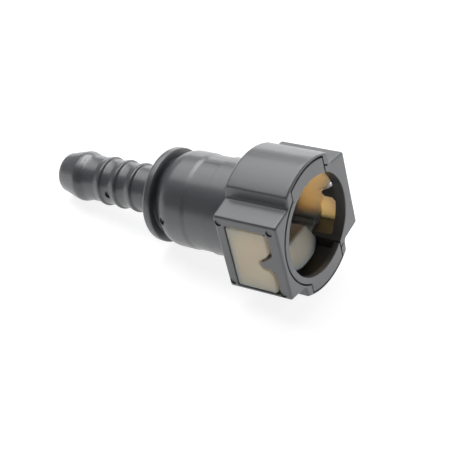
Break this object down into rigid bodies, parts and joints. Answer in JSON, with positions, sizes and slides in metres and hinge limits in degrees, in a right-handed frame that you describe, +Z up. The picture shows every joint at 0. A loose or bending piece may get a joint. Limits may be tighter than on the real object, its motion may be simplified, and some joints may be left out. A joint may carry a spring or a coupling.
{
  "type": "quick connect plug",
  "caption": "Straight fluid-line quick connector: squeeze the side pads to release a beaded tube, barbed stem at the other end for a push-on hose.",
  "frame": {"origin": "centre of the mouth's face, on the bore axis", "axes": "+X towards the mouth, level, +Z up; the bore axis rises 10.75 degrees towards the mouth, because the part lies on its lower shell and its stem; the two ears with the push pads are on -Y and +Y"},
  "size_m": [0.0457, 0.018, 0.021],
  "materials": {
    "body_nylon": "satin, black glass-filled nylon",
    "ring_nylon": "satin, black nylon",
    "clip_nylon": "translucent natural nylon, beige",
    "seal_rubber": "matte, black"
  },
  "bodies": {
    "housing": {"connector_body": "body_nylon", "front_ring": "ring_nylon", "clip_flexures": "clip_nylon", "seal_bush": "ring_nylon", "seal_spacer": "ring_nylon", "front_o_ring": "seal_rubber", "rear_o_ring": "seal_rubber"},
    "left_push_pad": {"left_pad": "clip_nylon"},
    "right_push_pad": {"right_pad": "clip_nylon"},
    "upper_latch": {"upper_jaw": "clip_nylon"},
    "lower_latch": {"lower_jaw": "clip_nylon"}
  },
  "joints": [
    {"name": "left_pad_press", "type": "slide", "parent": "housing", "child": "left_push_pad", "axis": [0, 1, 0], "range_m": [0, 0.0012], "stiffness_N_per_m": 3000, "deforming": ["clip_flexures"]},
    {"name": "right_pad_press", "type": "slide", "parent": "housing", "child": "right_push_pad", "axis": [0, -1, 0], "range_m": [0, 0.0012], "stiffness_N_per_m": 3000},
    {"name": "upper_jaw_open", "type": "slide", "parent": "housing", "child": "upper_latch", "axis": [-0.1865, 0, 0.9825], "range_m": [0, 0.00108], "stiffness_N_per_m": 3000},
    {"name": "lower_jaw_open", "type": "slide", "parent": "housing", "child": "lower_latch", "axis": [0.1865, 0, -0.9825], "range_m": [0, 0.00108], "stiffness_N_per_m": 3000}
  ],
  "couplings": [
    {"joint": "right_pad_press", "follows": "left_pad_press", "ratio": 1},
    {"joint": "upper_jaw_open", "follows": "left_pad_press", "ratio": 0.9},
    {"joint": "lower_jaw_open", "follows": "left_pad_press", "ratio": 0.9}
  ]
}
